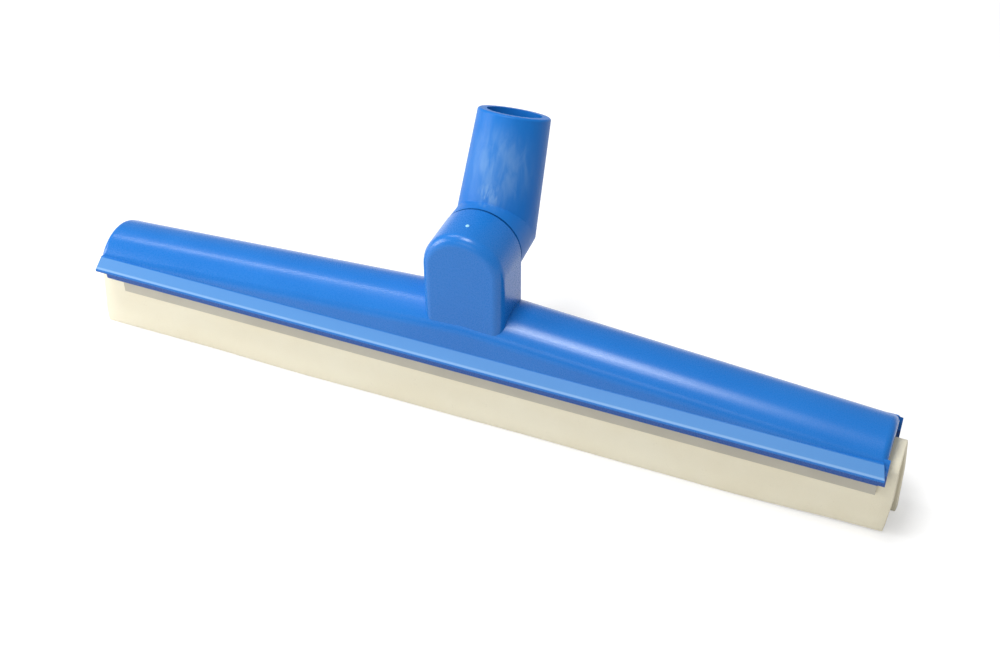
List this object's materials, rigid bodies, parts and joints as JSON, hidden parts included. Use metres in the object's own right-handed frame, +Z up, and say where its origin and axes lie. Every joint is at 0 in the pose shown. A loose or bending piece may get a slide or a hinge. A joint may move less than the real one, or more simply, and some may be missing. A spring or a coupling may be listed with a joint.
{
  "type": "floor squeegee",
  "caption": "Floor squeegee head with a dome-topped moulded frame, a folded foam double blade in a slide-out cassette, and a leaning handle socket that turns on an arched block.",
  "frame": {"origin": "on the floor plane under the blade edges, at the frame's mid length and mid width", "axes": "+X along the head to the right, -Y to the front, +Z up"},
  "size_m": [0.4174, 0.0878, 0.1497],
  "materials": {
    "frame_plastic": "moulded, soft gloss",
    "neck_plastic": "moulded, soft gloss",
    "bearing_plastic": "turned",
    "disc_plastic": "flat",
    "stud_steel": "stainless",
    "washer_steel": "stainless",
    "spring_steel": "spring temper",
    "nut_steel": "stainless",
    "ring_plastic": "plain",
    "carrier_plastic": "natural, uncoloured",
    "core_plastic": "natural, uncoloured",
    "foam_rubber": "cellular, matt",
    "rivet_metal": "plain"
  },
  "bodies": {
    "frame": {"frame_shell": "frame_plastic", "pivot_bush": "bearing_plastic", "friction_disc": "disc_plastic"},
    "neck": {"swivel_neck": "neck_plastic", "pivot_stud": "stud_steel", "flat_washer": "washer_steel", "disc_springs": "spring_steel", "lock_nut": "nut_steel", "nut_lock_ring": "ring_plastic"},
    "cassette": {"cassette_carrier": "carrier_plastic", "core_bar": "core_plastic", "foam_blade": "foam_rubber", "cassette_rivets": "rivet_metal"}
  },
  "joints": [
    {"name": "neck_swivel", "type": "hinge", "parent": "frame", "child": "neck", "pos_m": [0, 0.00925, 0.094], "axis": [0, 1, 0], "continuous": true},
    {"name": "cassette_slide", "type": "slide", "parent": "frame", "child": "cassette", "axis": [1, 0, 0], "range_m": [0, 0.42]}
  ]
}
